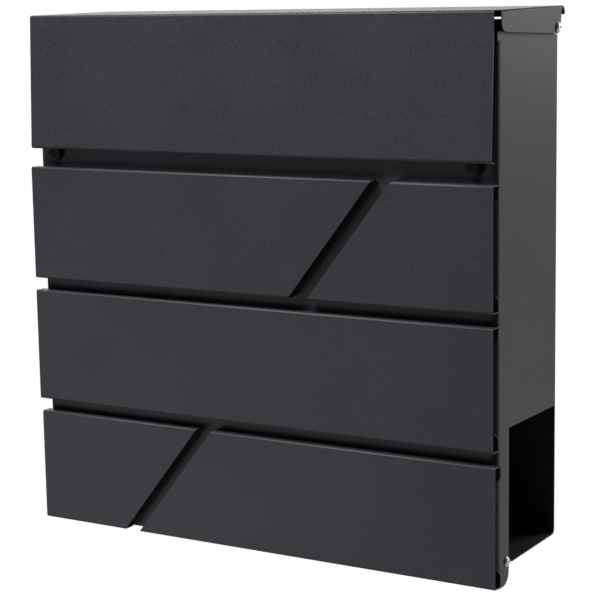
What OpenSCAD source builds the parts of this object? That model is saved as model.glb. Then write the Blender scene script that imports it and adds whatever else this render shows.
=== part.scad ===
// Wall mounted mailbox with a lifting lid and an open newspaper tray below.
// Millimetres. +X right, +Y into the wall, +Z up. The wall is the plane Y = 0.
// The origin is the centre of the four wall screw holes.

/* [Overall] */

// Length of the front planks
front_w = 370; // [300:1:450]
// From the face of the planks to the rear face of the back sheet
body_d = 102.2; // [82:0.1:130]
// Height of one plank below the lid
plank_h = 81.7; // [66:0.1:100]
// Gap between two planks
plank_gap = 9.0; // [5:0.1:14]
// Gap between the lid's front and the first plank
flap_gap = 13.5; // [12:0.1:18]
// Height of the lid's front plank
flap_h = 95.2; // [78:0.1:120]

/* [Sheet metal] */

// Thickness of the housing, floor and back sheets
sheet_t = 1.0; // [0.8:0.1:1.5]
// Thickness of the planks
plank_t = 0.8; // [0.6:0.1:1.2]
// Thickness of the lid
lid_t = 0.8; // [0.6:0.1:1.2]
// Outer radius of the housing's two front bends
bend_r = 4.5; // [2:0.1:5]
// Outer radius of the bends of a plank
plank_bend_r = 1.6; // [1.3:0.1:2.5]

/* [Planks] */

// Depth of a plank, from its face to the housing
plank_d = 9.4; // [8:0.1:14]
// How far the planks reach past the housing at each end
plank_over = 1.0; // [0.5:0.1:4]
// Width of the folded lips that are welded to the housing
plank_lip = 12; // [8:0.5:16]
// Corner cut off each lip at the ends of a row
lip_chamfer = 3.5; // [1:0.1:5]
// Where the upper slanted cut crosses half height, from the middle
cut_upper_x = 65.2; // [-100:0.1:110]
// Width of the upper slanted gap, measured level
cut_upper_gap = 14.3; // [6:0.1:24]
// Where the lower slanted cut crosses half height, from the middle
cut_lower_x = -77.9; // [-110:0.1:100]
// Width of the lower slanted gap, measured level
cut_lower_gap = 12.5; // [6:0.1:24]
// Sideways run of a slanted cut for each millimetre of height
cut_slope = 0.795; // [0.3:0.005:1.2]
// Sideways offset of the lowest plank row
low_row_shift = 1.6; // [0:0.1:3]

/* [Lid] */

// How far the lid's front plank leans back, in degrees
flap_lean = 2.49; // [0:0.01:4]
// Fall of the roof towards the front, in degrees
roof_fall = 0.95; // [0:0.01:3]
// How far the lid's front plank falls short of the planks at each end
flap_short = 0.9; // [0:0.1:2]
// Sideways offset of the lid's front plank
flap_shift = -0.5; // [-1:0.1:1]
// Depth of the flange below the lid's front plank
flap_flange = 4.9; // [3:0.1:6]
// Outer radius of the lid's front bends
lid_bend_r = 2.0; // [1.2:0.1:3]
// Outer radius of the curled rear lip
lip_r = 4.2; // [3.5:0.1:5.1]
// How far the curled lip reaches behind the back sheet
lip_past = 3.9; // [2.5:0.1:4.5]
// Length of the straight tail below the curled lip
lip_tail = 2.6; // [1:0.1:3]
// Play between a side of the housing and the ear of the lid
ear_gap = 2.6; // [2:0.1:4]
// Distance from the lid's hinge line forward of the back sheet's rear face
lid_axis_in = 7.6; // [7:0.1:10]
// Distance from the roof's front edge down to the lid's hinge line
lid_axis_down = 12.4; // [11:0.1:14]

/* [Tray and tunnel] */

// Height of the newspaper tunnel's side opening above the lowest plank edge
tunnel_h = 102.6; // [80:0.1:110]
// Width of the side strip left in front of the tunnel
strip_w = 17.6; // [15:0.1:24]
// Outer radius of the bend from the back into the tray floor
tray_bend_r = 3.5; // [2.5:0.1:8]
// Largest tilt of the housing that the tray floor leaves room for, in degrees
tilt_max = 45; // [30:1:60]
// Fall of the tray floor towards the front, in degrees
tray_fall = 0.7; // [0:0.1:2]
// Height of the tray's rear corner above the lowest plank edge
tray_up = 11.4; // [10.5:0.1:13]

/* [Hinges] */

// Radius of a rivet shank
rivet_r = 1.6; // [1.3:0.1:2]
// Running clearance of a rivet in the part that turns on it
rivet_play = 0.05; // [0.02:0.01:0.09]
// Radius of a rivet head
head_r = 3.5; // [2.9:0.1:4.2]
// Height of a rivet head
head_h = 1.6; // [1.2:0.1:2.4]
// Height of the lower hinge line above the lowest plank edge
low_axis_up = 13.2; // [12:0.1:15]
// Distance of the lower hinge line in front of the side strip's rear edge
low_axis_edge = 3.8; // [3:0.1:8]

/* [Wall mounting] */

// Distance of the screw holes in from the ends of the back sheet
screw_in = 43.8; // [30:0.1:80]
// Spacing of the screw holes up and down
screw_z = 160; // [100:1:180]
// Height of the upper plank row's lower edge below the middle of the screw holes
row_down = 50.4; // [40:0.1:60]
// Radius of a screw hole
screw_r = 3.25; // [2:0.05:4]
// Thickness of the wall spacers
spacer_t = 10.0; // [9.4:0.1:16]
// Radius of a wall spacer
spacer_r = 12; // [9:0.5:18]

/* [Lock] */

// Distance of the lock in from the side of the housing
lock_in = 35; // [34:0.5:60]
// Distance of the lock below the roof's front edge
lock_down = 39.9; // [36:0.1:60]
// Radius of the lock's plug
plug_r = 5.5; // [4.5:0.1:6]
// Radius of the lock's barrel
barrel_r = 8.0; // [7.5:0.1:9]
// Reach of the cam from the lock's axis
cam_reach = 26; // [22:0.5:27]

/* [Hidden] */

$fn = 64;
big = 1000;
eps = 0.01;
over = 1;
body_gap = 0.4;

// Depth positions, counted back from the wall plane
y_back = -spacer_t;
y_back_in = y_back - sheet_t;
y_face = y_back - body_d;
y_base = y_face + plank_d;
y_base_in = y_base + sheet_t;
y_side_end = y_back_in - body_gap;
y_strip = y_base + strip_w;
y_low = y_strip - low_axis_edge;
y_lid = y_back - lid_axis_in;

// Height positions; the rows hang from the second plank's lower edge
z_2 = -row_down;
z_3 = z_2 - plank_gap - plank_h;
z_4 = z_3 - plank_gap - plank_h;
z_flap = z_2 + plank_h + flap_gap;
z_roof = z_flap + flap_h;
front_top_down = 18.9;
side_top_down = 13.1;
back_top_down = 6.8;
z_front_top = z_roof - front_top_down;
z_side_top = z_roof - side_top_down;
z_back_top = z_roof - back_top_down;
z_lid = z_roof - lid_axis_down;
z_tunnel = z_4 + tunnel_h;
z_low = z_4 + low_axis_up;
base_up = 1.0;
strip_down = 2.7;
z_base_bot = z_4 + base_up;
z_strip_bot = z_4 - strip_down;
z_tray = z_4 + tray_up;

// Width positions
x_plank = front_w / 2;
x_side = x_plank - plank_over;
x_side_in = x_side - sheet_t;
back_short = 0.2;
x_back = x_side - back_short;
x_ear_in = x_side + ear_gap;
x_ear = x_ear_in + lid_t;
x_flap = x_plank - flap_short;
x_tray_front = x_side_in - body_gap;
x_screw = x_back - screw_in;
x_lock = x_side_in - lock_in;

// Housing details
strip_round = 8.5;
side_round = 2.5;
corner_leg = 4.5;
front_tab = 0.4;
tab_w = 15;
tab_up = 6.2;
tab_round = 4;

// Floor of the letter compartment
floor_flange = 10;
floor_bend = 2.0;
floor_front_short = 3;
floor_side_in = 0.4;
floor_rear_short = 0.4;

// Rear corner of the tray, with the bend's tangent length
tray_turn = 90 - tray_fall;
tray_tan = tray_bend_r * tan(tray_turn / 2);

// The tray is narrow where the strips' feet swing past, and has two hinge ears
tray_lead = 2.6;
tray_taper = 1.5;
y_tray = y_base_in + tray_lead;
tray_under = z_low - z_tray + (y_back - y_low) * tan(tray_fall);
y_tray_wide = y_low + (low_axis_edge + tray_under * sin(tilt_max) + body_gap) / cos(tilt_max);
ear_foot = 1.0;
ear_reach = 4.0;
ear_up = 3.2;
ear_corner = 3.0;
tail_room = 0.6;

// Front corner of the lid, with the bend's tangent length
flap_set = 0.6;
lid_turn = 90 - flap_lean - roof_fall;
lid_tan = lid_bend_r * tan(lid_turn / 2);
y_roof = y_face + flap_set + flap_h * tan(flap_lean);
roof_len = (y_back + lip_past - lip_r - y_roof) / cos(roof_fall);
lip_turn = 96;
lip_end_cut = 7;
lip_end_up = 2.6;
ear_from = 3.7;
ear_round = 6;
ear_front_down = 13.6;
ear_rear_past = 5.6;
ear_rear_up = 5;
ear_rear_lean = 0.6;
ear_hinge_r = 4.0;
ear_bend = 1.4;
ear_blank = 30;

// Bumpers under the lid's front plank
bumper_r = 5.5;
bumper_in = 17;
bumper_down = 3.6;
bumper_play = 0.3;
bumper_edge = 1.0;
bumper_x = x_plank - bumper_in;
bumper_z = z_flap - bumper_down;
bumper_h = plank_d - flap_set - flap_flange - bumper_play;

// Rivet tails and the play below a rivet head
tail_r = head_r - 0.8;
tail_h = 1.4;
head_play = 0.3;
washer_r = 4.6;

// Lock stack along Y
z_lock = z_roof - lock_down;
barrel_head_r = 9.5;
barrel_head_h = 3.0;
barrel_len = 10.0;
plug_lip_r = plug_r + 1.3;
plug_lip_h = 1.2;
plug_sink = 0.2;
plug_past = 0.8;
plug_play = 0.05;
plug_end_play = 0.1;
nut_af = 20;
nut_h = 3;
cam_t = 2.0;
cam_w = 14;
cam_tip_r = 3.5;
tail_w = 6;
tail_len = 2.0;
key_w = 2.0;
key_h = 7.0;
key_deep = 8.0;
screw_head_r = 4.0;
screw_head_h = 2.2;
screw_shank_r = 1.6;
screw_shank_len = 6;
slot_w = 1.0;
slot_deep = 0.9;

// Catch arm that the cam turns behind
arm_h = 22;
arm_gap = 0.5;
arm_foot = 20;
arm_tab = 19.5;
arm_bend = 2.5;
arm_lead = 6.6;
y_arm = y_base_in + arm_lead;

// Paint colours
paint = [0.17, 0.18, 0.2];
metal = [0.75, 0.76, 0.78];
black = [0.06, 0.06, 0.06];

// A flat shape in Y and Z, drawn from x0 to x1
module along_x(x0, x1) {
  translate([x0, 0, 0])
    rotate([90, 0, 90])
      linear_extrude(x1 - x0) children();
}

// A flat shape in X and Z, drawn from y0 to y1
module along_y(y0, y1) {
  translate([0, y1, 0])
    rotate([90, 0, 0])
      linear_extrude(y1 - y0) children();
}

// A flat shape in X and Y, drawn from z0 to z1
module along_z(z0, z1) {
  translate([0, 0, z0])
    linear_extrude(z1 - z0) children();
}

// Rectangle from one corner to the other
module rect(x0, y0, x1, y1) {
  translate([x0, y0]) square([x1 - x0, y1 - y0]);
}

// Box from one corner to the other
module box(lo, hi) {
  translate(lo) cube(hi - lo);
}

// Rectangle with four round corners
module round_rect(x0, y0, x1, y1, r) {
  rect(x0 + r, y0, x1 - r, y1);
  rect(x0, y0 + r, x1, y1 - r);
  for (x = [x0 + r, x1 - r], y = [y0 + r, y1 - r])
    translate([x, y]) circle(r);
}

// Bent strip: the part of a ring between two directions, less than 180 apart
module ring_arc(ro, t, a0, a1) {
  am = (a0 + a1) / 2;
  reach = 3 * ro;
  intersection() {
    difference() {
      circle(ro);
      circle(ro - t);
    }
    polygon([
      [0, 0],
      [reach * cos(a0), reach * sin(a0)],
      [reach * cos(am), reach * sin(am)],
      [reach * cos(a1), reach * sin(a1)]
    ]);
  }
}

// Square corner filler that is removed to round a corner
module corner_cut(r) {
  difference() {
    rect(0, 0, r + eps, r + eps);
    circle(r);
  }
}

// Both sides of the mailbox
module both_sides() {
  children();
  mirror([1, 0, 0]) children();
}

// Round bar along X
module bar_x(x0, x1, r) {
  translate([x0, 0, 0]) rotate([0, 90, 0]) cylinder(r = r, h = x1 - x0);
}

// Round bar along Y
module bar_y(y0, y1, r) {
  translate([0, y1, 0]) rotate([90, 0, 0]) cylinder(r = r, h = y1 - y0);
}

// Domed rivet along X: inner formed tail, shank and outer dome, turned in one
module rivet_x(x_inner, x_outer) {
  dome_r = (head_r * head_r + head_h * head_h) / (2 * head_h);
  rotate([0, 90, 0]) rotate_extrude() {
    rect(0, x_inner - tail_h, tail_r, x_inner);
    rect(0, x_inner - tail_h, rivet_r, x_outer + head_h / 2);
    intersection() {
      translate([0, x_outer + head_h - dome_r]) circle(dome_r);
      rect(0, x_outer, head_r, x_outer + head_h + over);
    }
  }
}

// Housing: front sheet and both sides, bent from one sheet, tunnel ends cut out
module housing_shell() {
  r_in = bend_r - sheet_t;
  color(paint)
  difference() {
    union() {
      along_z(z_strip_bot, z_front_top) housing_plan();
      both_sides() {
        box([x_side_in, y_base + bend_r, z_front_top - over], [x_side, y_side_end, z_side_top]);
        box([x_side_in, y_base - front_tab, z_front_top],
            [x_side, y_base + bend_r + over, z_side_top]);
        along_x(x_side_in, x_side) lid_tab_shape();
      }
    }
    // lower edge of the front sheet stays above the strips
    box([-x_side + corner_leg, y_base - over, z_strip_bot - over],
        [x_side - corner_leg, y_base_in + r_in, z_base_bot]);
    // tunnel openings with a rounded strip end
    both_sides() along_x(x_side_in - r_in - over, x_side + over) {
      rect(y_strip, z_strip_bot - over, y_side_end + over, z_tunnel);
      translate([y_strip - strip_round, z_strip_bot + strip_round])
        mirror([0, 1]) corner_cut(strip_round);
      translate([y_side_end - side_round, z_tunnel + side_round])
        mirror([0, 1]) corner_cut(side_round);
    }
    // hinge holes, low ones run on their rivets
    translate([0, y_low, z_low]) bar_x(-big, big, rivet_r + rivet_play);
    translate([0, y_lid, z_lid]) bar_x(-big, big, rivet_r);
    // lock hole
    translate([x_lock, 0, z_lock]) bar_y(y_base - over, y_base_in + over, barrel_r);
  }
}

// Plan of the bent housing sheet
module housing_plan() {
  difference() {
    union() {
      rect(-x_side + bend_r, y_base, x_side - bend_r, y_base + bend_r);
      rect(-x_side, y_base + bend_r, x_side, y_side_end);
      for (s = [-1, 1])
        translate([s * (x_side - bend_r), y_base + bend_r]) circle(bend_r);
    }
    rect(-x_side + bend_r, y_base_in, x_side - bend_r, y_side_end + over);
    rect(-x_side_in, y_base + bend_r, x_side_in, y_side_end + over);
    for (s = [-1, 1])
      translate([s * (x_side - bend_r), y_base + bend_r]) circle(bend_r - sheet_t);
  }
}

// Raised tab that carries a lid rivet
module lid_tab_shape() {
  y1 = y_side_end;
  y0 = y1 - tab_w;
  z1 = z_side_top + tab_up;
  difference() {
    rect(y0, z_side_top - over, y1, z1);
    translate([y1 - tab_round, z1 - tab_round]) corner_cut(tab_round);
    translate([y0 + tab_round, z1 - tab_round]) mirror([1, 0]) corner_cut(tab_round);
  }
}

// Floor of the letter compartment, with flanges against the front and sides
module letter_floor() {
  y0 = y_base + bend_r + floor_side_in;
  y1 = y_side_end - floor_rear_short;
  x_front = x_side - bend_r - floor_front_short;
  r_in = floor_bend - sheet_t;
  color(paint) {
    along_y(y0, y1) difference() {
      union() {
        rect(-x_side_in + floor_bend, z_tunnel, x_side_in - floor_bend, z_tunnel + sheet_t);
        rect(-x_side_in, z_tunnel + floor_bend, x_side_in, z_tunnel + floor_flange);
        for (s = [-1, 1])
          translate([s * (x_side_in - floor_bend), z_tunnel + floor_bend]) circle(floor_bend);
      }
      rect(-x_side_in + sheet_t, z_tunnel + floor_bend, x_side_in - sheet_t,
           z_tunnel + floor_flange + over);
      for (s = [-1, 1])
        translate([s * (x_side_in - floor_bend), z_tunnel + floor_bend]) circle(r_in);
      rect(-x_side_in + floor_bend, z_tunnel + sheet_t, x_side_in - floor_bend,
           z_tunnel + floor_bend + over);
    }
    along_x(-x_front, x_front) {
      rect(y_base_in, z_tunnel + floor_bend, y_base_in + sheet_t, z_tunnel + floor_flange);
      translate([y_base_in + floor_bend, z_tunnel + floor_bend])
        ring_arc(floor_bend, sheet_t, 180, 270);
      rect(y_base_in + floor_bend, z_tunnel, y0 + over, z_tunnel + sheet_t);
    }
  }
}

// Open channel with lips folded inward, as a flat shape in Y and Z
module plank_profile(z0) {
  z1 = z0 + plank_h;
  difference() {
    round_rect(y_face, z0, y_base, z1, plank_bend_r);
    round_rect(y_face + plank_t, z0 + plank_t, y_base - plank_t, z1 - plank_t,
               plank_bend_r - plank_t);
    rect(y_base - plank_t - over, z0 + plank_lip, y_base + over, z1 - plank_lip);
  }
}

// Outline to the left of a slanted line, in X and Z
module left_of(xm, z0) {
  zm = z0 + plank_h / 2;
  dz = plank_h;
  polygon([
    [-big, zm - dz],
    [xm - dz * cut_slope, zm - dz],
    [xm + dz * cut_slope, zm + dz],
    [-big, zm + dz]
  ]);
}

// One plank row, with the free corners of its lips cut off
module plank_row(z0, shift) {
  c = lip_chamfer;
  difference() {
    along_x(-x_plank + shift, x_plank + shift) plank_profile(z0);
    for (end = [-1, 1], up = [0, 1])
      translate([end * x_plank + shift, 0, z0 + (up == 0 ? plank_lip : plank_h - plank_lip)])
        mirror([end < 0 ? 1 : 0, 0, 0]) mirror([0, 0, up])
          along_y(y_base - plank_t - eps, y_base + over)
            polygon([[-c - over, over], [over, over], [over, -c - over]]);
  }
}

module plank_2_left() {
  color(paint) intersection() {
    plank_row(z_2, 0);
    along_y(y_face - over, y_base + over) left_of(cut_upper_x, z_2);
  }
}

module plank_2_right() {
  color(paint) difference() {
    plank_row(z_2, 0);
    along_y(y_face - over, y_base + over) left_of(cut_upper_x + cut_upper_gap, z_2);
  }
}

module plank_3() {
  color(paint) plank_row(z_3, 0);
}

module plank_4_left() {
  color(paint) intersection() {
    plank_row(z_4, low_row_shift);
    along_y(y_face - over, y_base + over) left_of(cut_lower_x, z_4);
  }
}

module plank_4_right() {
  color(paint) difference() {
    plank_row(z_4, low_row_shift);
    along_y(y_face - over, y_base + over) left_of(cut_lower_x + cut_lower_gap, z_4);
  }
}

// Two rubber bumpers that hold the lid's front off the housing
module flap_bumpers() {
  edge = bumper_edge;
  color(black) for (s = [-1, 1])
    translate([s * bumper_x, y_base, bumper_z]) rotate([90, 0, 0]) {
      cylinder(r = bumper_r, h = bumper_h - edge);
      translate([0, 0, bumper_h - edge]) cylinder(r1 = bumper_r, r2 = bumper_r - edge, h = edge);
    }
}

// Rivets the lid turns on
module lid_rivets() {
  color(metal) both_sides() translate([0, y_lid, z_lid])
    rivet_x(x_side_in, x_ear + head_play);
}

// Washers between the sides and the lid's ears
module lid_washers() {
  washer_t = ear_gap - body_gap;
  color(metal) both_sides() translate([0, y_lid, z_lid]) difference() {
    bar_x(x_side, x_side + washer_t, washer_r);
    bar_x(x_side - over, x_side + washer_t + over, rivet_r);
  }
}

// Lid: front plank, roof, two ears and a curled rear lip, bent from one sheet
module lid_sheet() {
  color(paint) difference() {
    union() {
      along_x(-x_flap + flap_shift, x_flap + flap_shift) lid_front_shape();
      intersection() {
        roof_frame() lid_roof_solid();
        along_x(-x_ear - over, x_ear + over) lid_side_limit();
      }
      along_x(-x_ear, x_ear) roof_frame_2d() translate([roof_len, -lip_r]) {
        ring_arc(lip_r, lid_t, 90 - lip_turn, 90);
        rotate(90 - lip_turn) rect(lip_r - lid_t, -lip_tail, lip_r, 0);
      }
    }
    // ends of the curled lip are cut back
    both_sides() box([x_ear - lip_end_cut, y_back + body_gap, z_lid - big],
                     [x_ear + over, y_back + big, z_back_top + lip_end_up]);
    translate([0, y_lid, z_lid]) {
      bar_x(-big, -x_side, rivet_r + rivet_play);
      bar_x(x_side, big, rivet_r + rivet_play);
    }
  }
}

// Front plank of the lid with its lower flange and its upper bend
module lid_front_shape() {
  r = lid_bend_r;
  h = flap_h / cos(flap_lean);
  translate([y_face + flap_set, z_flap]) rotate(-flap_lean) {
    rect(0, r, lid_t, h - lid_tan);
    translate([r, r]) ring_arc(r, lid_t, 180, 270);
    rect(r, 0, flap_flange, lid_t);
  }
  roof_frame_2d() {
    translate([lid_tan, -r]) ring_arc(r, lid_t, 90, 90 + lid_turn);
    rect(lid_tan, -lid_t, ear_from + over, 0);
  }
}

// Roof direction: origin at the sharp front corner of the lid
module roof_frame_2d() {
  translate([y_roof, z_roof]) rotate(roof_fall) children();
}

module roof_frame() {
  translate([0, y_roof, z_roof]) rotate([roof_fall, 0, 0]) children();
}

// Roof and ears as one upside down channel
module lid_roof_solid() {
  r = ear_bend;
  along_y(ear_from, roof_len) difference() {
    union() {
      rect(-x_ear + r, -ear_blank, x_ear - r, 0);
      rect(-x_ear, -ear_blank, x_ear, -r);
      for (s = [-1, 1]) translate([s * (x_ear - r), -r]) circle(r);
    }
    rect(-x_ear + r, -ear_blank - over, x_ear - r, -lid_t);
    rect(-x_ear_in, -ear_blank - over, x_ear_in, -r);
    for (s = [-1, 1]) translate([s * (x_ear - r), -r]) circle(r - lid_t);
  }
}

// Side view of the roof and ears
module lid_side_limit() {
  y0 = y_roof + ear_from;
  y1 = y_lid + ear_rear_past;
  za = z_roof - ear_front_down;
  zb = z_lid - ear_hinge_r;
  yr = y0 + ear_round;
  rect(y0 - over, z_roof - over, y_back + ear_round, z_roof + body_d * sin(roof_fall) + over);
  rect(y0, za + ear_round, yr + over, z_roof);
  translate([yr, za + ear_round]) circle(ear_round);
  polygon([[yr - eps, za], [y_lid, zb], [y_lid, z_roof], [yr - eps, z_roof]]);
  translate([y_lid, z_lid]) circle(ear_hinge_r);
  polygon([
    [y_lid, z_lid],
    [y_lid + ear_hinge_r, z_lid],
    [y1, z_lid + ear_rear_up],
    [y1 + ear_rear_lean, z_roof],
    [y_lid, z_roof]
  ]);
}

// Back sheet that curves forward into the tray floor, with two hinge ears
module back_tray() {
  hole_z = screw_z / 2;
  color(paint) difference() {
    union() {
      along_x(-x_back, x_back) {
        rect(y_back_in, z_tray + tray_tan, y_back, z_back_top);
        translate([y_back - tray_bend_r, z_tray + tray_tan])
          ring_arc(tray_bend_r, sheet_t, -tray_turn, 0);
      }
      intersection() {
        along_x(-x_back, x_back) tray_floor_shape();
        along_z(z_strip_bot, z_low) tray_plan();
      }
      both_sides() along_x(x_tray_front - sheet_t, x_tray_front) tray_ear_shape();
    }
    for (x = [-x_screw, x_screw], z = [-hole_z, hole_z])
      translate([x, 0, z]) bar_y(y_back_in - over, y_back + over, screw_r);
    translate([0, y_low, z_low]) bar_x(-big, big, rivet_r);
    // room for the rivet tails in the floor beside the ears
    both_sides() box([x_tray_front - sheet_t - tail_h - tail_room, y_low - tail_r - tail_room,
                      z_strip_bot],
                     [x_tray_front - sheet_t, y_low + tail_r + tail_room, z_low]);
  }
}

// Tray floor from its rear bend forward
module tray_floor_shape() {
  run = (y_back - y_tray) / cos(tray_fall);
  translate([y_back, z_tray]) rotate(tray_fall)
    rect(-run, 0, -tray_tan, sheet_t);
}

// Plan of the tray floor, tapered to its narrow front
module tray_plan() {
  y1 = y_tray_wide + tray_taper;
  polygon([
    [-x_tray_front, y_tray - over], [x_tray_front, y_tray - over],
    [x_tray_front, y_tray_wide], [x_back, y1], [x_back, y_back + over],
    [-x_back, y_back + over], [-x_back, y1], [-x_tray_front, y_tray_wide]
  ]);
}

// Hinge ear bent up from the side of the tray floor
module tray_ear_shape() {
  y0 = y_tray + ear_foot;
  y1 = y_low + ear_reach;
  z1 = z_low + ear_up;
  r = ear_corner;
  intersection() {
    union() {
      rect(y0, z_strip_bot, y1, z1 - r);
      rect(y0 + r, z_strip_bot, y1 - r, z1);
      for (y = [y0 + r, y1 - r]) translate([y, z1 - r]) circle(r);
    }
    translate([y_back, z_tray]) rotate(tray_fall)
      rect(-big, 0, -tray_tan, big);
  }
}

// Rivets the housing turns on
module low_rivets() {
  color(metal) both_sides() translate([0, y_low, z_low])
    rivet_x(x_tray_front - sheet_t, x_side + head_play);
}

// Spacers that hold the back off the wall
module wall_spacers() {
  color(black) for (x = [-x_screw, x_screw], z = [-screw_z / 2, screw_z / 2])
    translate([x, 0, z]) difference() {
      bar_y(y_back, 0, spacer_r);
      bar_y(y_back - over, over, screw_r);
    }
}

// Arm that reaches forward from the back sheet to the lock's cam
module catch_arm() {
  x1 = x_side_in - arm_gap;
  r = arm_bend;
  color(paint) along_z(z_lock - arm_h / 2, z_lock + arm_h / 2) {
    rect(x1 - sheet_t, y_arm + r, x1, y_back_in - r);
    translate([x1 - r, y_back_in - r]) ring_arc(r, sheet_t, 0, 90);
    rect(x1 - arm_foot, y_back_in - sheet_t, x1 - r, y_back_in);
    translate([x1 - r, y_arm + r]) ring_arc(r, sheet_t, -90, 0);
    rect(x1 - arm_tab, y_arm, x1 - r, y_arm + sheet_t);
  }
}

// Lock barrel with its round head in front of the housing sheet
module lock_barrel() {
  color(metal) translate([x_lock, 0, z_lock]) difference() {
    union() {
      bar_y(y_base - barrel_head_h, y_base, barrel_head_r);
      bar_y(y_base - eps, y_base + barrel_len, barrel_r);
    }
    bar_y(y_base - barrel_head_h - over, y_base + barrel_len + over, plug_r + plug_play);
    bar_y(y_base - barrel_head_h - over,
          y_base - barrel_head_h + plug_sink + plug_lip_h + plug_end_play,
          plug_lip_r + plug_play);
  }
}

// Hexagon nut behind the housing sheet
module lock_nut() {
  color(metal) translate([x_lock, 0, z_lock]) difference() {
    translate([0, y_base_in + nut_h, 0]) rotate([90, 0, 0])
      cylinder(r = nut_af / sqrt(3), h = nut_h, $fn = 6);
    bar_y(y_base_in - over, y_base_in + nut_h + over, barrel_r);
  }
}

// Plug that the key turns, with a key slot and a square tail
module lock_plug() {
  y0 = y_base - barrel_head_h + plug_sink;
  y1 = y_base + barrel_len + plug_past;
  color(metal) translate([x_lock, 0, z_lock]) difference() {
    union() {
      bar_y(y0, y0 + plug_lip_h, plug_lip_r);
      bar_y(y0, y1, plug_r);
      box([-tail_w / 2, y1 - eps, -tail_w / 2], [tail_w / 2, y1 + tail_len, tail_w / 2]);
    }
    box([-key_w / 2, y0 - over, -key_h / 2], [key_w / 2, y0 + key_deep, key_h / 2]);
    bar_y(y1 - screw_shank_len, y1 + tail_len + over, screw_shank_r);
  }
}

// Cam that swings behind the catch arm; it points down when unlocked
module lock_cam() {
  y0 = y_base + barrel_len + plug_past;
  color(metal) translate([x_lock, 0, z_lock]) difference() {
    along_y(y0, y0 + cam_t) {
      circle(cam_w / 2);
      rect(-cam_w / 2, -cam_reach + cam_tip_r, cam_w / 2, 0);
      round_rect(-cam_w / 2, -cam_reach, cam_w / 2, -cam_reach / 2, cam_tip_r);
    }
    box([-tail_w / 2, y0 - over, -tail_w / 2], [tail_w / 2, y0 + cam_t + over, tail_w / 2]);
  }
}

// Screw that holds the cam on the plug
module cam_screw() {
  y0 = y_base + barrel_len + plug_past + cam_t;
  color(metal) translate([x_lock, 0, z_lock]) difference() {
    union() {
      bar_y(y0, y0 + screw_head_h, screw_head_r);
      bar_y(y0 - screw_shank_len, y0 + eps, screw_shank_r);
    }
    box([-screw_head_r - over, y0 + screw_head_h - slot_deep, -slot_w / 2],
        [screw_head_r + over, y0 + screw_head_h + over, slot_w / 2]);
  }
}

back_tray();
catch_arm();
wall_spacers();
low_rivets();
housing_shell();
letter_floor();
plank_2_left();
plank_2_right();
plank_3();
plank_4_left();
plank_4_right();
flap_bumpers();
lid_rivets();
lid_washers();
lid_sheet();
lock_barrel();
lock_nut();
lock_plug();
lock_cam();
cam_screw();
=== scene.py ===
"""Wall mounted mailbox: finishes, turned hardware, floor, lights and camera."""

import math

import bmesh
import bpy
from mathutils import Matrix, Vector


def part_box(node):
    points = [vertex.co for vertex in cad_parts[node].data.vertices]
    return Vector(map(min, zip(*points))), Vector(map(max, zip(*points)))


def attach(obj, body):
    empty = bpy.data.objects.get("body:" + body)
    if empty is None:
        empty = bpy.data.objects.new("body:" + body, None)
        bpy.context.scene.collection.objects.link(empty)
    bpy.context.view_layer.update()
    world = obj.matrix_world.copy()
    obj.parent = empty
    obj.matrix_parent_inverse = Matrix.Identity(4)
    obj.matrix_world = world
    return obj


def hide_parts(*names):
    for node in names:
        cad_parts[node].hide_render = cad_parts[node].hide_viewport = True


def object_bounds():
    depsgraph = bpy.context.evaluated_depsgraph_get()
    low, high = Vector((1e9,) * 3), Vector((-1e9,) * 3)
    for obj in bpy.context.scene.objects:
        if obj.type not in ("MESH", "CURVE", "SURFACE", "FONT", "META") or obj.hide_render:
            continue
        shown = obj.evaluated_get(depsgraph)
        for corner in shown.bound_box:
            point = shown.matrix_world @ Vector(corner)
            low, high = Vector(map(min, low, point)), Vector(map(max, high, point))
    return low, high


bl_info = {
    "name": "Wall Mailbox",
    "version": (1, 0, 0),
    "blender": (4, 5, 0),
    "location": "View3D > Sidebar > Mailbox",
    "description": "Finishes a powder coated wall mailbox and sets up its stage",
    "category": "Object",
}

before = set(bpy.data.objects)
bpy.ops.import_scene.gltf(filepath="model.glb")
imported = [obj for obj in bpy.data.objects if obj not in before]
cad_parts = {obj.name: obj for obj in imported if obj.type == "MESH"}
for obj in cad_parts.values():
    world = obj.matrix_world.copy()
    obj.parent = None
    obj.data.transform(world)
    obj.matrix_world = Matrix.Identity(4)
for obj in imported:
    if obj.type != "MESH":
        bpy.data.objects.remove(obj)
bpy.context.view_layer.update()
CAD_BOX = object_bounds()

MM = 0.001

# Nodes cut and bent from coated sheet steel
PLANK_NODES = ("plank_2_left", "plank_2_right", "plank_3", "plank_4_left", "plank_4_right")
SHEET_NODES = ("housing_shell", "letter_floor", "back_tray", "catch_arm")
LID_NODE = "lid_sheet"

# Powder coat: cloudy drift of the spray, and swells, as sheet steel is never quite flat
DRIFT_WIDTH = 60 * MM
DRIFT_SHARE = 0.3
SWELL_WIDTH = 130 * MM
SWELL_DEPTH = 0.25 * MM
GRAIN_DEPTH = 0.06 * MM
# sums of grain and drift at which the coat has its dark and its light tone
TONE_LOW = 0.45
TONE_HIGH = 0.85

# Part of a noise's 0 to 1 output in which nearly all of it lies
NOISE_LOW = 0.3
NOISE_HIGH = 0.7

# Film on a cut edge: points closer than the gap are joined, edges over the angle are rounded
WELD_GAP = 0.002 * MM
FILM_CORNER = math.radians(40)
FILM_STEPS = 2

# Rounding left on the edges of the small parts
STAMPED_ROUND = 0.15 * MM
CAST_ROUND = 0.2 * MM
MOULDED_ROUND = 0.4 * MM

# Turned parts: faces around, and the radius below which a point lies on the axis
LATHE_STEPS = 40
ON_AXIS = 1e-9

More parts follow.
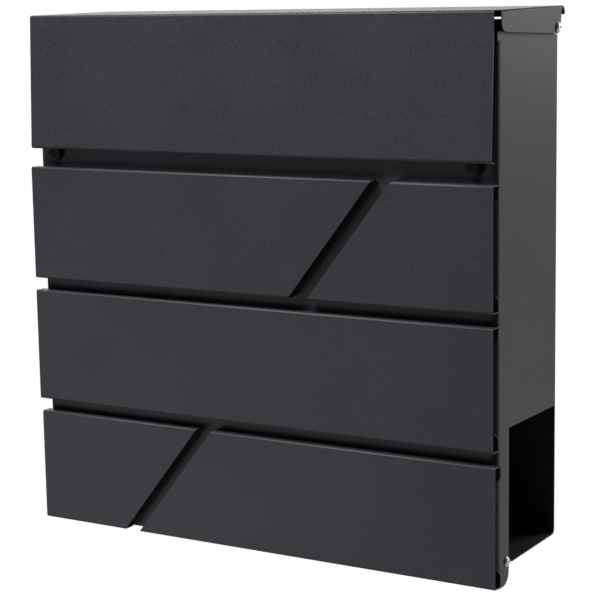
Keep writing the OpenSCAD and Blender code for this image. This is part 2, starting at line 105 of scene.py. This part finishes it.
# Blind rivet: radii of its shank and stem hole, heights of its head, flange and tail
RIVET_SHANK = 1.6 * MM
RIVET_HOLE = 0.8 * MM
RIVET_HEAD = 1.6 * MM
RIVET_FLANGE = 0.35 * MM
RIVET_TAIL = 1.4 * MM
# the tail is narrower than the flange by this much, and rounded
TAIL_INSET = 0.8 * MM
TAIL_ROUND = 0.4 * MM
# roundings of the flange's lower and upper edges
FLANGE_ROUND = 0.1 * MM
FLANGE_SLOPE = 0.12 * MM
# dome: its flat top ends outside the hole, its foot inside the flange's rim
CROWN_EDGE = 0.25 * MM
DOME_INSET = 0.4 * MM
DOME_STEPS = 9
# stem hole: rounding of its edge, depth of the groove around the stem and of the stem's end
HOLE_ROUND = 0.15 * MM
STEM_GROOVE = 0.9 * MM
STEM_EDGE = 0.8 * MM
STEM_END = 0.7 * MM
# corners over this many degrees stay sharp
RIVET_CREASE = 35

# node, body, name, and the sheets and play between the rivet's tail and its head
RIVET_PAIRS = (
    ("lid_rivets", "front_housing", "Lid_Rivets", 4.7 * MM),
    ("low_rivets", "wall_back", "Low_Rivets", 2.7 * MM),
)

# Rubber bumper: roundings of its foot and its face, and the shallow moulded dish in it
BUMPER_FOOT = 0.15 * MM
BUMPER_ROUND = 1.1 * MM
DISH_RIM = 0.5 * MM
# points of the dish: share of the bumper's radius, and depth
DISH = ((0.5, 0.18 * MM), (0.2, 0.24 * MM), (0, 0.25 * MM))
# corners over this many degrees stay sharp
BUMPER_CREASE = 50

# The background is white to the camera, but only a dim fill falls on the mailbox
FILL_LEVEL = 0.04
SKY_LEVEL = 1.0

# Name, place, target, width, height and watts. A target of None is the mailbox's middle
SOFTBOXES = (
    # mirrored in the right side from behind, sets the tone of that side
    ("Side_Softbox", (1.1, 0.95, -0.42), (0.19, -0.06, -0.05), 0.5, 1.0, 5.2),
    # lifts the top of the right side and the lid's ear
    ("Near_Softbox", (0.45, 0.42, 0.27), (0.19, -0.06, 0.1), 0.3, 0.3, 1.3),
    # main light on the planks and the roof, from above and the front left
    ("Top_Softbox", (-0.65, -0.95, 1.75), None, 1.2, 0.8, 55),
    # weak fill on the planks' undersides and the lower rows, from below
    ("Low_Softbox", (-1.1, -1.5, -0.75), None, 0.8, 0.6, 5),
    # sheen on the roof, from behind
    ("Rear_Softbox", (-1.1, 2.1, 0.75), (0, 0, 0.14), 2.4, 1.4, 33),
)

# Camera: place in metres, and its turn left of +Y, tip down and roll in radians
CAMERA_PLACE = (0.6721, -1.1422, 0.1484)
CAMERA_YAW = -0.5486
CAMERA_TIP = -0.1636
CAMERA_ROLL = -0.0169
SENSOR_MM = 36
LENS_MM = 109.24
CLIP_NEAR = 0.01
CLIP_FAR = 200


def linear_colour(code):
    """Linear RGBA from an sRGB hex code, by the sRGB curve."""
    channels = []
    for i in (0, 2, 4):
        v = int(code[i : i + 2], 16) / 255
        channels.append(v / 12.92 if v <= 0.04045 else ((v + 0.055) / 1.055) ** 2.4)
    return (*channels, 1.0)


def box_centre(lo, hi):
    """Middle of a box given by its two corners."""
    return (lo + hi) / 2


class MailboxSizes(bpy.types.PropertyGroup):
    """Sizes that the add-on uses."""

    edge_round: bpy.props.FloatProperty(
        name="Edge rounding",
        description="Radius that the coating leaves on a cut sheet edge",
        default=0.16 * MM,
        min=0.02 * MM,
        max=0.35 * MM,
        unit="LENGTH",
    )
    grain: bpy.props.FloatProperty(
        name="Coating grain",
        description="Width of one grain of the textured powder coat",
        default=0.9 * MM,
        min=0.3 * MM,
        max=3 * MM,
        unit="LENGTH",
    )
    rivet_head_radius: bpy.props.FloatProperty(
        name="Rivet head radius",
        description="Radius of a blind rivet's flange",
        default=3.5 * MM,
        unit="LENGTH",
    )
    floor_drop: bpy.props.FloatProperty(
        name="Floor drop",
        description="Distance from the mailbox down to the floor",
        default=1.2,
        unit="LENGTH",
    )
    floor_side: bpy.props.FloatProperty(
        name="Floor side",
        description="Side length of the square floor",
        default=3.0,
        unit="LENGTH",
    )


def colour_setting(name, description, code):
    """Colour property with an sRGB hex code as its default."""
    return bpy.props.FloatVectorProperty(
        name=name,
        description=description,
        subtype="COLOR",
        size=4,
        min=0,
        max=1,
        default=linear_colour(code),
    )


class MailboxColours(bpy.types.PropertyGroup):
    """Colours that the add-on uses."""

    coat_dark: colour_setting("Coating, dark", "Darker tone of the anthracite powder coat", "29292F")
    coat_light: colour_setting("Coating, light", "Lighter tone of the anthracite powder coat", "3A3A42")
    rivet: colour_setting("Rivet aluminium", "Colour of the rivets", "E4E4E2")
    zinc: colour_setting("Zinc plate", "Colour of zinc plated steel", "B7BABD")
    chrome: colour_setting("Chrome plate", "Colour of the chromed lock", "CFD2D5")
    rubber: colour_setting("Rubber", "Colour of the bumpers", "131314")
    plastic: colour_setting("Spacer plastic", "Colour of the wall spacers", "1B1C1E")
    floor: colour_setting("Floor", "Colour of the floor", "F6F6F6")


def sizes():
    return bpy.context.scene.mailbox_sizes


def colours():
    return bpy.context.scene.mailbox_colours


def add_node(tree, kind, settings=None, values=None, links=None):
    """Adds a node with its settings, socket values and incoming links."""
    made = tree.nodes.new(kind)
    for name, value in (settings or {}).items():
        setattr(made, name, value)
    for name, value in (values or {}).items():
        made.inputs[name].default_value = value
    for name, source in (links or {}).items():
        tree.links.new(source, made.inputs[name])
    return made


def new_material(name):
    """An empty node material with its tree, or the one made before."""
    found = bpy.data.materials.get(name)
    if found:
        return found, None
    made = bpy.data.materials.new(name)
    made.use_nodes = True
    made.node_tree.nodes.clear()
    return made, made.node_tree


def finish_shader(tree, values, links):
    """Surface shader with its fixed values, linked to the output."""
    shader = add_node(tree, "ShaderNodeBsdfPrincipled", values=values, links=links)
    add_node(tree, "ShaderNodeOutputMaterial", links={"Surface": shader.outputs["BSDF"]})


def object_place(tree):
    """Texture coordinates in the object's own frame, in metres."""
    return add_node(tree, "ShaderNodeTexCoord").outputs["Object"]


def noise(tree, place, width, detail, roughness):
    """Noise whose patches are about width across."""
    made = add_node(
        tree,
        "ShaderNodeTexNoise",
        values={"Scale": 1.0 / width, "Detail": detail, "Roughness": roughness},
        links={"Vector": place},
    )
    return made.outputs["Fac"]


def gloss(tree, source, lo, hi):
    """Roughness between lo and hi that follows a noise."""
    made = add_node(
        tree,
        "ShaderNodeMapRange",
        values={"From Min": NOISE_LOW, "From Max": NOISE_HIGH, "To Min": lo, "To Max": hi},
        links={"Value": source},
    )
    return made.outputs["Result"]


def bump(tree, height, strength, depth, under=None):
    """Surface normal bent by a height, on top of the bump under it if there is one."""
    links = {"Height": height}
    if under is not None:
        links["Normal"] = under
    values = {"Strength": strength, "Distance": depth}
    return add_node(tree, "ShaderNodeBump", values=values, links=links).outputs["Normal"]


def two_tones(tree, source, colour, shade, margin):
    """A colour and its darker shade, mixed by a noise between two even margins."""
    ramp = add_node(tree, "ShaderNodeValToRGB", links={"Fac": source})
    ramp.color_ramp.elements[0].position = margin
    ramp.color_ramp.elements[1].position = 1 - margin
    ramp.color_ramp.elements[0].color = [shade * c for c in colour[:3]] + [1.0]
    ramp.color_ramp.elements[1].color = list(colour)
    return ramp.outputs["Color"]


def powder_coat():
    """Polyester powder coat, sprayed dry and baked on steel.

    The baked grains stand up like fine sand, which breaks every highlight into a
    soft dull sheen, and the tone drifts slightly across a panel.
    """
    made, tree = new_material("Anthracite_Textured_Powder_Coat")
    if tree is None:
        return made
    place = object_place(tree)
    grain = noise(tree, place, sizes().grain, 2.0, 0.6)
    drift = noise(tree, place, DRIFT_WIDTH, 3.0, 0.5)
    swell = noise(tree, place, SWELL_WIDTH, 1.0, 0.4)
    mixed = add_node(
        tree,
        "ShaderNodeMath",
        settings={"operation": "MULTIPLY_ADD"},
        values={1: DRIFT_SHARE},
        links={0: drift, 2: grain},
    )
    tone = add_node(
        tree,
        "ShaderNodeMapRange",
        values={"From Min": TONE_LOW, "From Max": TONE_HIGH, "To Min": 0.0, "To Max": 1.0},
        links={"Value": mixed.outputs[0]},
    )
    ramp = add_node(tree, "ShaderNodeValToRGB", links={"Fac": tone.outputs["Result"]})
    ramp.color_ramp.elements[0].color = colours().coat_dark
    ramp.color_ramp.elements[1].color = colours().coat_light
    swollen = bump(tree, swell, 1.0, SWELL_DEPTH)
    finish_shader(
        tree,
        {"IOR": 1.5, "Metallic": 0.0, "Specular IOR Level": 0.5},
        {
            "Base Color": ramp.outputs["Color"],
            "Roughness": gloss(tree, grain, 0.5, 0.62),
            "Normal": bump(tree, grain, 0.55, GRAIN_DEPTH, swollen),
        },
    )
    return made


def plated_metal(name, colour, rough_lo, rough_hi, streak_mm, stretch, depth_mm):
    """Bare or plated metal: fine streaks from forming vary its gloss."""
    made, tree = new_material(name)
    if tree is None:
        return made
    drawn = add_node(
        tree,
        "ShaderNodeMapping",
        values={"Scale": stretch},
        links={"Vector": object_place(tree)},
    )
    streak = noise(tree, drawn.outputs["Vector"], streak_mm * MM, 3.0, 0.6)
    finish_shader(
        tree,
        {"Metallic": 1.0},
        {
            "Base Color": two_tones(tree, streak, colour, 0.82, 0.2),
            "Roughness": gloss(tree, streak, rough_lo, rough_hi),
            "Normal": bump(tree, streak, 0.25, depth_mm * MM),
        },
    )
    return made


def rivet_aluminium():
    """Blind rivet aluminium, cold headed: a bright satin with faint marks."""
    return plated_metal("Cold_Headed_Aluminium", colours().rivet, 0.42, 0.55, 0.5, (1, 1, 1), 0.02)


def zinc_plate():
    """Zinc plated steel, stamped: a grey satin with drawn streaks."""
    return plated_metal("Zinc_Plated_Steel", colours().zinc, 0.3, 0.45, 0.8, (1, 1, 0.2), 0.015)


def chrome_plate():
    """Chrome plated zinc casting, polished: a clear mirror with slight waves."""
    return plated_metal("Polished_Chrome_Plate", colours().chrome, 0.1, 0.16, 4.0, (1, 1, 1), 0.002)


def moulded(name, colour, rough_lo, rough_hi, speck_mm, depth_mm, ior):
    """Moulded part: a fine spark-eroded mould grain dulls its surface."""
    made, tree = new_material(name)
    if tree is None:
        return made
    speck = noise(tree, object_place(tree), speck_mm * MM, 2.0, 0.55)
    finish_shader(
        tree,
        {"Metallic": 0.0, "IOR": ior},
        {
            "Base Color": two_tones(tree, speck, colour, 0.75, 0.25),
            "Roughness": gloss(tree, speck, rough_lo, rough_hi),
            "Normal": bump(tree, speck, 0.4, depth_mm * MM),
        },
    )
    return made


def bumper_rubber():
    """Black EPDM rubber, moulded: almost no shine."""
    return moulded("Moulded_EPDM_Rubber", colours().rubber, 0.7, 0.85, 0.5, 0.04, 1.5)


def spacer_plastic():
    """Black polyamide, injection moulded: a dull satin."""
    return moulded("Moulded_Polyamide", colours().plastic, 0.5, 0.62, 0.7, 0.03, 1.53)


def coat(obj, material):
    """Gives an object one material on every face."""
    obj.data.materials.clear()
    obj.data.materials.append(material)


def soften_edges(obj, width):
    """Joins split corners and rounds cut edges, as a coating film does."""
    weld = obj.modifiers.new("Join", "WELD")
    weld.merge_threshold = WELD_GAP
    bevel = obj.modifiers.new("Film edge", "BEVEL")
    bevel.width = width
    bevel.segments = FILM_STEPS
    bevel.limit_method = "ANGLE"
    bevel.angle_limit = FILM_CORNER
    bevel.harden_normals = True
    bevel.use_clamp_overlap = True


def coat_sheets(names):
    """Powder coats CAD sheets and softens their cut edges."""
    for name in names:
        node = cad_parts[name]
        coat(node, powder_coat())
        soften_edges(node, sizes().edge_round)


def lathe(name, profile, axis_point, turn):
    """Turned solid from (radius, height) points, heights along the turned +Z."""
    mesh = bpy.data.meshes.new(name)
    work = bmesh.new()
    rings = []
    for radius, height in profile:
        if radius < ON_AXIS:
            rings.append([work.verts.new((0, 0, height))])
            continue
        ring = []
        for i in range(LATHE_STEPS):
            a = 2 * math.pi * i / LATHE_STEPS
            ring.append(work.verts.new((radius * math.cos(a), radius * math.sin(a), height)))
        rings.append(ring)
    for low, high in zip(rings, rings[1:]):
        for i in range(LATHE_STEPS):
            j = (i + 1) % LATHE_STEPS
            if len(low) == 1 and len(high) == 1:
                continue
            if len(low) == 1:
                work.faces.new((low[0], high[j], high[i]))
            elif len(high) == 1:
                work.faces.new((low[i], low[j], high[0]))
            else:
                work.faces.new((low[i], low[j], high[j], high[i]))
    bmesh.ops.recalc_face_normals(work, faces=work.faces)
    work.transform(Matrix.Translation(axis_point) @ turn)
    for face in work.faces:
        face.smooth = True
    work.to_mesh(mesh)
    work.free()
    return mesh


def join_meshes(name, meshes):
    """One object from several meshes, linked to the scene."""
    work = bmesh.new()
    for mesh in meshes:
        work.from_mesh(mesh)
        bpy.data.meshes.remove(mesh)
    joined = bpy.data.meshes.new(name)
    work.to_mesh(joined)
    work.free()
    made = bpy.data.objects.new(name, joined)
    bpy.context.scene.collection.objects.link(made)
    return made


def arc_points(centre, radius, start, end, count):
    """(radius, height) points on an arc, angles in degrees."""
    made = []
    for i in range(count + 1):
        a = math.radians(start + (end - start) * i / count)
        made.append((centre[0] + radius * math.cos(a), centre[1] + radius * math.sin(a)))
    return made


def blind_rivet(name, inner_x, face_x, tip_x, y, z):
    """Both blind rivets of a pair: flange, dome, pulled stem hole and tail.

    inner_x is where the tail ends, face_x the underside of the flange and tip_x
    the top of the dome, all as distances from the middle plane.
    """
    r = sizes().rivet_head_radius
    dome_h = tip_x - face_x - RIVET_FLANGE
    tail_r = r - TAIL_INSET
    tail_top = inner_x + RIVET_TAIL
    flange_top = face_x + RIVET_FLANGE
    crown = RIVET_HOLE + CROWN_EDGE
    # outside profile from the tail to the flange, then over the dome into the hole
    outline = [(0, inner_x), (tail_r - TAIL_ROUND, inner_x)]
    outline += arc_points((tail_r - TAIL_ROUND, inner_x + TAIL_ROUND), TAIL_ROUND, -75, 0, 4)
    outline += [(tail_r, tail_top), (RIVET_SHANK, tail_top)]
    outline += [(RIVET_SHANK, face_x), (r - FLANGE_ROUND, face_x), (r, face_x + FLANGE_ROUND)]
    outline += [(r, flange_top - FLANGE_ROUND), (r - FLANGE_SLOPE, flange_top)]
    for i in range(1, DOME_STEPS):
        a = i / DOME_STEPS * math.pi / 2
        reach = crown + (r - DOME_INSET - crown) * math.cos(a)
        outline.append((reach, flange_top + dome_h * math.sin(a)))
    outline += [(crown, tip_x), (RIVET_HOLE, tip_x - HOLE_ROUND)]
    outline += [(RIVET_HOLE, tip_x - STEM_GROOVE)]
    outline += [(RIVET_HOLE - HOLE_ROUND, tip_x - STEM_EDGE), (0, tip_x - STEM_END)]
    meshes = []
    for side in (1, -1):
        turn = Matrix.Rotation(math.radians(90 * side), 4, "Y")
        meshes.append(lathe(name, outline, Vector((0, y, z)), turn))
    made = join_meshes(name, meshes)
    crisp_shading(made, RIVET_CREASE)
    return made


def crisp_shading(obj, angle):
    """Smooth shading with corners over an angle kept sharp."""
    limit = math.radians(angle)
    work = bmesh.new()
    work.from_mesh(obj.data)
    for edge in work.edges:
        if len(edge.link_faces) == 2 and edge.calc_face_angle(0) > limit:
            edge.smooth = False
    work.to_mesh(obj.data)
    work.free()


class MAILBOX_OT_housing(bpy.types.Operator):
    """Powder coats the housing, the floor, the back with its tray, and the catch arm"""

    bl_idname = "mailbox.housing"
    bl_label = "Finish housing and back"

    def execute(self, context):
        coat_sheets(SHEET_NODES)
        return {"FINISHED"}


class MAILBOX_OT_planks(bpy.types.Operator):
    """Powder coats the five front planks"""

    bl_idname = "mailbox.planks"
    bl_label = "Finish planks"

    def execute(self, context):
        coat_sheets(PLANK_NODES)
        return {"FINISHED"}


class MAILBOX_OT_lid(bpy.types.Operator):
    """Powder coats the lid"""

    bl_idname = "mailbox.lid"
    bl_label = "Finish lid"

    def execute(self, context):
        coat_sheets([LID_NODE])
        return {"FINISHED"}


class MAILBOX_OT_rivets(bpy.types.Operator):
    """Makes the four blind rivets that the lid and the housing turn on"""

    bl_idname = "mailbox.rivets"
    bl_label = "Make rivets"

    def execute(self, context):
        for node, body, name, held in RIVET_PAIRS:
            lo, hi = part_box(node)
            middle = box_centre(lo, hi)
            face_x = hi.x - RIVET_HEAD
            inner_x = face_x - RIVET_TAIL - held
            made = blind_rivet(name, inner_x, face_x, hi.x, middle.y, middle.z)
            coat(made, rivet_aluminium())
            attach(made, body)
            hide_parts(node)
        return {"FINISHED"}


class MAILBOX_OT_washers(bpy.types.Operator):
    """Plates the washers between the sides and the lid's ears"""

    bl_idname = "mailbox.washers"
    bl_label = "Finish washers"

    def execute(self, context):
        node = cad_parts["lid_washers"]
        coat(node, zinc_plate())
        soften_edges(node, STAMPED_ROUND)
        return {"FINISHED"}


class MAILBOX_OT_bumpers(bpy.types.Operator):
    """Makes the two rubber bumpers under the lid's lower edge"""

    bl_idname = "mailbox.bumpers"
    bl_label = "Make bumpers"

    def execute(self, context):
        lo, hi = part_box("flap_bumpers")
        radius = (hi.z - lo.z) / 2
        tall = hi.y - lo.y
        flat = radius - BUMPER_ROUND
        outline = [(0, 0), (radius - BUMPER_FOOT, 0), (radius, BUMPER_FOOT)]
        outline += [(radius, tall - BUMPER_ROUND)]
        outline += arc_points((flat, tall - BUMPER_ROUND), BUMPER_ROUND, 10, 80, 5)
        outline += [(flat - DISH_RIM, tall)]
        outline += [(radius * share, tall - depth) for share, depth in DISH]
        turn = Matrix.Rotation(math.radians(90), 4, "X")
        meshes = []
        for x in (lo.x + radius, hi.x - radius):
            place = Vector((x, hi.y, (lo.z + hi.z) / 2))
            meshes.append(lathe("bumper", outline, place, turn))
        made = join_meshes("Rubber_Bumpers", meshes)
        crisp_shading(made, BUMPER_CREASE)
        coat(made, bumper_rubber())
        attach(made, "front_housing")
        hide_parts("flap_bumpers")
        return {"FINISHED"}


class MAILBOX_OT_lock(bpy.types.Operator):
    """Plates the lock's barrel, plug, nut, cam and cam screw"""

    bl_idname = "mailbox.lock"
    bl_label = "Finish lock"

    def execute(self, context):
        for name in ("lock_barrel", "lock_plug"):
            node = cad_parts[name]
            coat(node, chrome_plate())
            soften_edges(node, CAST_ROUND)
        for name in ("lock_nut", "lock_cam", "cam_screw"):
            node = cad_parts[name]
            coat(node, zinc_plate())
            soften_edges(node, STAMPED_ROUND)
        return {"FINISHED"}


class MAILBOX_OT_spacers(bpy.types.Operator):
    """Gives the wall spacers their moulded finish"""

    bl_idname = "mailbox.spacers"
    bl_label = "Finish spacers"

    def execute(self, context):
        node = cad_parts["wall_spacers"]
        coat(node, spacer_plastic())
        soften_edges(node, MOULDED_ROUND)
        return {"FINISHED"}


def area_light(name, place, target, width, height, power):
    """Soft rectangular light aimed at a point."""
    data = bpy.data.lights.new(name, "AREA")
    data.shape = "RECTANGLE"
    data.size = width
    data.size_y = height
    data.energy = power
    made = bpy.data.objects.new(name, data)
    made.location = place
    made.rotation_euler = (Vector(target) - Vector(place)).to_track_quat("-Z", "Y").to_euler()
    bpy.context.scene.collection.objects.link(made)


class MAILBOX_OT_stage(bpy.types.Operator):
    """Makes the floor, the soft lights and the camera"""

    bl_idname = "mailbox.stage"
    bl_label = "Make stage"

    def execute(self, context):
        self.make_floor()
        self.make_lights()
        self.make_camera()
        return {"FINISHED"}

    def make_floor(self):
        side = sizes().floor_side / 2
        level = CAD_BOX[0].z - sizes().floor_drop
        mesh = bpy.data.meshes.new("Floor")
        turns = ((-1, -1), (1, -1), (1, 1), (-1, 1))
        corners = [(x * side, y * side, level) for x, y in turns]
        mesh.from_pydata(corners, [], [(0, 1, 2, 3)])
        floor = bpy.data.objects.new("Floor", mesh)
        bpy.context.scene.collection.objects.link(floor)
        made, tree = new_material("Pale_Matt_Paint")
        if tree is not None:
            finish_shader(tree, {"Base Color": colours().floor, "Roughness": 0.9, "IOR": 1.45}, {})
        coat(floor, made)

    def make_lights(self):
        world = bpy.data.worlds.new("Studio")
        world.use_nodes = True
        tree = world.node_tree
        tree.nodes.clear()
        seen = add_node(tree, "ShaderNodeLightPath").outputs["Is Camera Ray"]
        level = add_node(
            tree,
            "ShaderNodeMapRange",
            values={"To Min": FILL_LEVEL, "To Max": SKY_LEVEL},
            links={"Value": seen},
        )
        sky = add_node(
            tree,
            "ShaderNodeBackground",
            values={"Color": (1, 1, 1, 1)},
            links={"Strength": level.outputs["Result"]},
        )
        add_node(tree, "ShaderNodeOutputWorld", links={"Surface": sky.outputs["Background"]})
        bpy.context.scene.world = world
        bpy.context.scene.view_settings.view_transform = "Standard"
        middle = box_centre(*CAD_BOX)
        for name, place, target, width, height, power in SOFTBOXES:
            area_light(name, place, target or middle, width, height, power)

    def make_camera(self):
        yaw, tip, roll = CAMERA_YAW, CAMERA_TIP, CAMERA_ROLL
        level = math.cos(tip)
        look = Vector((math.sin(yaw) * level, math.cos(yaw) * level, math.sin(tip)))
        right = Vector((math.cos(yaw), -math.sin(yaw), 0))
        up = right.cross(look)
        side = right * math.cos(roll) + up * math.sin(roll)
        head = up * math.cos(roll) - right * math.sin(roll)
        data = bpy.data.cameras.new("Camera")
        data.sensor_width = SENSOR_MM
        data.lens = LENS_MM
        data.clip_start = CLIP_NEAR
        data.clip_end = CLIP_FAR
        camera = bpy.data.objects.new("Camera", data)
        turn = Matrix((side, head, -look)).transposed().to_4x4()
        camera.matrix_world = Matrix.Translation(CAMERA_PLACE) @ turn
        bpy.context.scene.collection.objects.link(camera)
        bpy.context.scene.camera = camera


OPERATORS = (
    MAILBOX_OT_housing,
    MAILBOX_OT_planks,
    MAILBOX_OT_lid,
    MAILBOX_OT_rivets,
    MAILBOX_OT_washers,
    MAILBOX_OT_bumpers,
    MAILBOX_OT_lock,
    MAILBOX_OT_spacers,
    MAILBOX_OT_stage,
)


class MAILBOX_PT_panel(bpy.types.Panel):
    """Lists the sizes, the colours and the steps"""

    bl_idname = "MAILBOX_PT_panel"
    bl_label = "Wall Mailbox"
    bl_space_type = "VIEW_3D"
    bl_region_type = "UI"
    bl_category = "Mailbox"

    def draw(self, context):
        layout = self.layout
        for group in (context.scene.mailbox_sizes, context.scene.mailbox_colours):
            column = layout.column()
            for name in group.__annotations__:
                column.prop(group, name)
        for operator in OPERATORS:
            layout.operator(operator.bl_idname)


CLASSES = (MailboxSizes, MailboxColours, *OPERATORS, MAILBOX_PT_panel)


def register():
    for cls in CLASSES:
        bpy.utils.register_class(cls)
    bpy.types.Scene.mailbox_sizes = bpy.props.PointerProperty(type=MailboxSizes)
    bpy.types.Scene.mailbox_colours = bpy.props.PointerProperty(type=MailboxColours)


def unregister():
    del bpy.types.Scene.mailbox_colours
    del bpy.types.Scene.mailbox_sizes
    for cls in reversed(CLASSES):
        bpy.utils.unregister_class(cls)


def main():
    register()
    for operator in OPERATORS:
        group, name = operator.bl_idname.split(".")
        getattr(getattr(bpy.ops, group), name)()
    bpy.context.view_layer.update()


if __name__ == "__main__":
    main()
